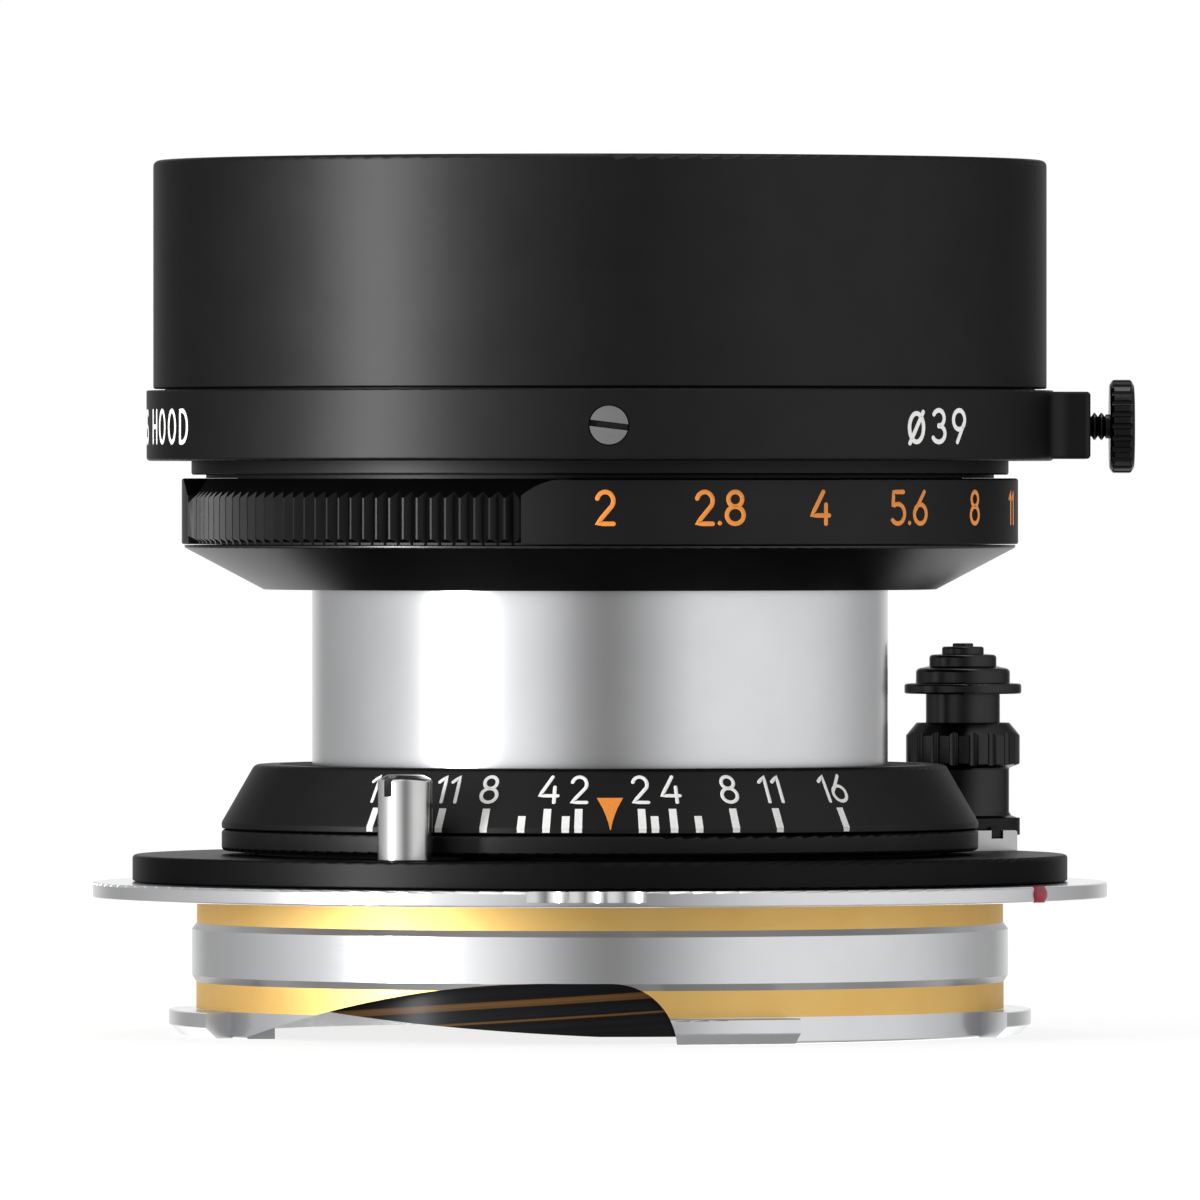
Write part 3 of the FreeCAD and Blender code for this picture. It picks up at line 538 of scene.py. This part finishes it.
def block(bm, corners, above, below, place):
    """Closed flat patch with straight sides from its 2-D corners, subdivided across u."""
    a, b, c, d = corners
    top, bottom = [], []
    for i in range(BLOCK_STEPS + 1):
        t = i / BLOCK_STEPS
        low = (a[0] + (b[0] - a[0]) * t, a[1] + (b[1] - a[1]) * t)
        high = (d[0] + (c[0] - d[0]) * t, d[1] + (c[1] - d[1]) * t)
        top.append((bm.verts.new(place(*low, above)), bm.verts.new(place(*high, above))))
        bottom.append((bm.verts.new(place(*low, -below)), bm.verts.new(place(*high, -below))))
    for i in range(BLOCK_STEPS):
        bm.faces.new((top[i][0], top[i + 1][0], top[i + 1][1], top[i][1]))
        bm.faces.new((bottom[i][1], bottom[i + 1][1], bottom[i + 1][0], bottom[i][0]))
        bm.faces.new((bottom[i][0], bottom[i + 1][0], top[i + 1][0], top[i][0]))
        bm.faces.new((top[i][1], top[i + 1][1], bottom[i + 1][1], bottom[i][1]))
    bm.faces.new((bottom[0][1], bottom[0][0], top[0][0], top[0][1]))
    bm.faces.new((bottom[-1][0], bottom[-1][1], top[-1][1], top[-1][0]))


def strip(left, right, low, high):
    """Corners of an upright rectangle."""
    return (left, low), (right, low), (right, high), (left, high)


def on_cylinder(radius):
    """u runs round the cylinder from the front (-Y) towards +X, v is the height."""
    def place(u, v, height):
        a = u / radius - math.pi / 2
        r = radius + height
        return Vector((r * math.cos(a), r * math.sin(a), v)) * MM
    return place


def on_cone(at_degrees):
    """Local frame on the depth-of-field cone: u across, v up the slant from its lower edge."""
    run, rise = CONE_TOP_R - CONE_FOOT_R, CONE_TOP_Z - CONE_FOOT_Z
    slant = math.hypot(run, rise)
    up_r, up_z = run / slant, rise / slant

    def place(u, v, height):
        r = CONE_FOOT_R + up_r * v + up_z * height
        z = CONE_FOOT_Z + up_z * v - up_r * height
        a = math.radians(at_degrees - 90) + u / (CONE_FOOT_R + up_r * 1.7)
        return Vector((r * math.cos(a), r * math.sin(a), z)) * MM
    return place


def mark_object(name, bm, paint_used, body):
    """Finishes engraved marks as an object of their own."""
    bmesh.ops.recalc_face_normals(bm, faces=bm.faces)
    make_object(name, bm, [paint_used], body)


def aperture_numerals():
    """Stops on the aperture ring."""
    bm = bmesh.new()
    place = on_cylinder(APERTURE_R)
    for i, text in enumerate(("2", "2.8", "4", "5.6", "8", "11", "16")):
        u = APERTURE_R * math.radians(STOP_STEP * i + (0.7 if i < 2 else -0.2))
        write(bm, text, 1.6, 0.23, u, NUMERAL_Z - 0.8, place)
    mark_object("aperture_numerals", bm, ORANGE, "aperture_ring")


def depth_mark(bm, at_degrees, length):
    """Line up the cone and over its foot."""
    half, lap = 0.19, 0.03
    block(bm, strip(-half, half, -lap, length), 0.012, 0.04, on_cone(at_degrees))
    u = CONE_FOOT_R * math.radians(at_degrees)
    over_foot = strip(u - half, u + half, CONE_FOOT_Z - 0.22, CONE_FOOT_Z + lap)
    block(bm, over_foot, 0.008, 0.05, on_cylinder(CONE_FOOT_R))


def depth_marks():
    """Depth-of-field lines and numbers either side of the index."""
    bm = bmesh.new()
    for side in (-1, 1):
        for text in ("2", "4", "8", "11", "16"):
            at = INDEX_AT + side * MARK_STEP * int(text)
            depth_mark(bm, at, 1.12)
            write(bm, text, 1.46, 0.19, 0.0, 1.5, on_cone(at), gap=0.26)
        for stop in (2.8, 5.6):
            depth_mark(bm, INDEX_AT + side * MARK_STEP * stop, 0.7)
    mark_object("depth_marks", bm, WHITE, "focus_group")


def focus_index():
    """Triangle with hollowed sides that points down at the scale."""
    bm = bmesh.new()
    place = on_cone(INDEX_AT)
    levels = ((-0.08, 0.02), (0.3, 0.09), (0.7, 0.2), (1.15, 0.36), (1.75, 0.66))
    for (low, a), (high, b) in zip(levels, levels[1:]):
        block(bm, ((-a, low), (a, low), (b, high), (-b, high)), 0.016, 0.05, place)
    mark_object("focus_index", bm, ORANGE, "focus_group")


def hood_marks():
    """The filter size on the right of the clamp ring and plain words on its left."""
    bm = bmesh.new()
    for text, degrees in (("o39", 47.3), ("LENS HOOD", -80.3)):
        u = CLAMP_R * math.radians(degrees)
        write(bm, text, 1.6, 0.24, u, CLAMP_TEXT_Z, on_cylinder(CLAMP_R), gap=0.42)
    mark_object("hood_marks", bm, WHITE, "hood")


# ---- stage ----------------------------------------------------------------------------
CAMERA_AT, CAMERA_AIM, CAMERA_LENS = (0, -1.005, 0.02113), (0, 0, 0.01523), 588.0
LIGHT_AIM = (0, 0, 0.015)
# brightness of the room, in degrees round from the front (-Y) towards +X
ROOM = ((-180, 1.25), (-165, 1.0), (-148, 0.45), (-128, 0.45), (-112, 0.52), (-88, 0.7), (-60, 0.95),
        (-42, 0.98), (-33, 0.92), (-24, 0.78), (-16, 0.58), (-8, 0.34), (0, 0.23), (6, 0.23), (13, 0.34),
        (20, 0.46), (28, 0.62), (36, 0.78), (46, 0.86), (62, 0.86), (80, 0.82), (96, 0.75), (112, 0.62),
        (128, 0.48), (148, 0.45), (165, 1.0), (180, 1.25))
# The room's lower part is dimmed in front and brightened behind, by the Z and Y of the direction.
LOW_FULL, LOW_NONE = -0.5, -0.15
BEHIND_FROM, BEHIND_TO = 0.35, 0.85
FRONT_DIMMING, BACK_GLOW = -0.4, 1.6


def stage_material(name, colour, glow):
    """Matt colour with an even glow of its own."""
    made, tree, shader = new_material(name, Roughness=0.9, Specular_IOR_Level=0.0)
    shader.inputs["Base Color"].default_value = (*colour, 1)
    shader.inputs["Emission Color"].default_value = (1, 1, 1, 1)
    shader.inputs["Emission Strength"].default_value = glow
    return made


def floor():
    """Seamless pale floor that curves up into a backdrop."""
    bm = bmesh.new()
    floor_z = BAYONET_END * MM
    width, front, back, bend, top, steps = 3.0, -2.5, 1.2, 0.6, 2.2, 12
    line = [(front, floor_z), (back, floor_z)]
    for i in range(1, steps + 1):
        a = math.radians(90 * i / steps)
        line.append((back + bend * math.sin(a), floor_z + bend * (1 - math.cos(a))))
    line.append((back + bend, top))
    rows = [(bm.verts.new((-width, y, z)), bm.verts.new((width, y, z))) for y, z in line]
    for near, far in zip(rows, rows[1:]):
        bm.faces.new((near[0], near[1], far[1], far[0]))
    mesh = bpy.data.meshes.new("floor")
    bm.to_mesh(mesh)
    bm.free()
    mesh.shade_smooth()
    mesh.materials.append(stage_material("floor_white", (0.2, 0.2, 0.2), 0.83))
    made = bpy.data.objects.new("floor", mesh)
    made.visible_glossy = False
    made.visible_shadow = False
    bpy.context.scene.collection.objects.link(made)


def area_light(name, turn_degrees, tilt_degrees, distance, size, radiance):
    """Softbox at an angle round from the front (-Y) towards +X, and above the floor."""
    light = bpy.data.lights.new(name, "AREA")
    light.shape = "RECTANGLE"
    light.size, light.size_y = size
    light.energy = radiance * math.pi * size[0] * size[1]
    made = bpy.data.objects.new(name, light)
    a, e = math.radians(turn_degrees - 90), math.radians(tilt_degrees)
    outwards = Vector((math.cos(a) * math.cos(e), math.sin(a) * math.cos(e), math.sin(e)))
    made.location = Vector(LIGHT_AIM) + distance * outwards
    made.rotation_euler = (-outwards).to_track_quat("-Z", "Y").to_euler()
    made.visible_camera = False
    bpy.context.scene.collection.objects.link(made)


def room():
    """Soft grey room, dark in front and bright behind, whose lower part glows behind the lens."""
    world = bpy.data.worlds.new("studio")
    world.use_nodes = True
    tree = world.node_tree
    where = node(tree, "ShaderNodeTexCoord")
    split = node(tree, "ShaderNodeSeparateXYZ")
    tree.links.new(where.outputs["Generated"], split.inputs[0])
    flip = node(tree, "ShaderNodeMath", operation="MULTIPLY", in_1=-1.0)
    tree.links.new(split.outputs[1], flip.inputs[0])
    angle = node(tree, "ShaderNodeMath", operation="ARCTAN2")
    tree.links.new(split.outputs[0], angle.inputs[0])
    tree.links.new(flip.outputs[0], angle.inputs[1])
    share = node(tree, "ShaderNodeMapRange", in_1=-math.pi, in_2=math.pi)
    tree.links.new(angle.outputs[0], share.inputs[0])
    ramp = node(tree, "ShaderNodeValToRGB")
    stops = ramp.color_ramp.elements
    for i, (degrees, value) in enumerate(ROOM):
        place = (degrees + 180) / 360
        if i in (0, len(ROOM) - 1):
            stop = stops[0 if i == 0 else len(stops) - 1]
        else:
            stop = stops.new(place)
        stop.color = (value, value, value, 1)
    tree.links.new(share.outputs[0], ramp.inputs[0])
    low = node(tree, "ShaderNodeMapRange", in_1=LOW_FULL, in_2=LOW_NONE, in_3=1.0, in_4=0.0)
    tree.links.new(split.outputs[2], low.inputs[0])
    under = node(tree, "ShaderNodeMapRange", in_1=BEHIND_FROM, in_2=BEHIND_TO, in_3=FRONT_DIMMING,
                 in_4=BACK_GLOW)
    tree.links.new(split.outputs[1], under.inputs[0])
    extra = node(tree, "ShaderNodeMath", operation="MULTIPLY_ADD", in_2=1.0)
    tree.links.new(low.outputs[0], extra.inputs[0])
    tree.links.new(under.outputs[0], extra.inputs[1])
    background = tree.nodes["Background"]
    tree.links.new(ramp.outputs[0], background.inputs[0])
    tree.links.new(extra.outputs[0], background.inputs[1])
    bpy.context.scene.world = world


def lights():
    """Tall strip at the left, weak panel from above and behind, and the room."""
    area_light("key_left", -58, 3, 0.9, (0.09, 0.5), 47.0)
    area_light("top", 180, 80, 0.9, (0.5, 0.5), 2.0)
    room()
    bpy.context.scene.view_settings.view_transform = "Standard"


def camera():
    """Long lens just above the flange, aimed a touch down."""
    data = bpy.data.cameras.new("camera")
    data.sensor_width = 36.0
    data.lens = CAMERA_LENS
    data.clip_start, data.clip_end = 0.05, 20.0
    made = bpy.data.objects.new("camera", data)
    made.location = CAMERA_AT
    made.rotation_euler = (Vector(CAMERA_AIM) - made.location).to_track_quat("-Z", "Y").to_euler()
    bpy.context.scene.collection.objects.link(made)
    bpy.context.scene.camera = made


camera()
floor()
lights()
dress_nodes()
smooth_visible_nodes()
aperture_numerals()
depth_marks()
focus_index()
hood_marks()
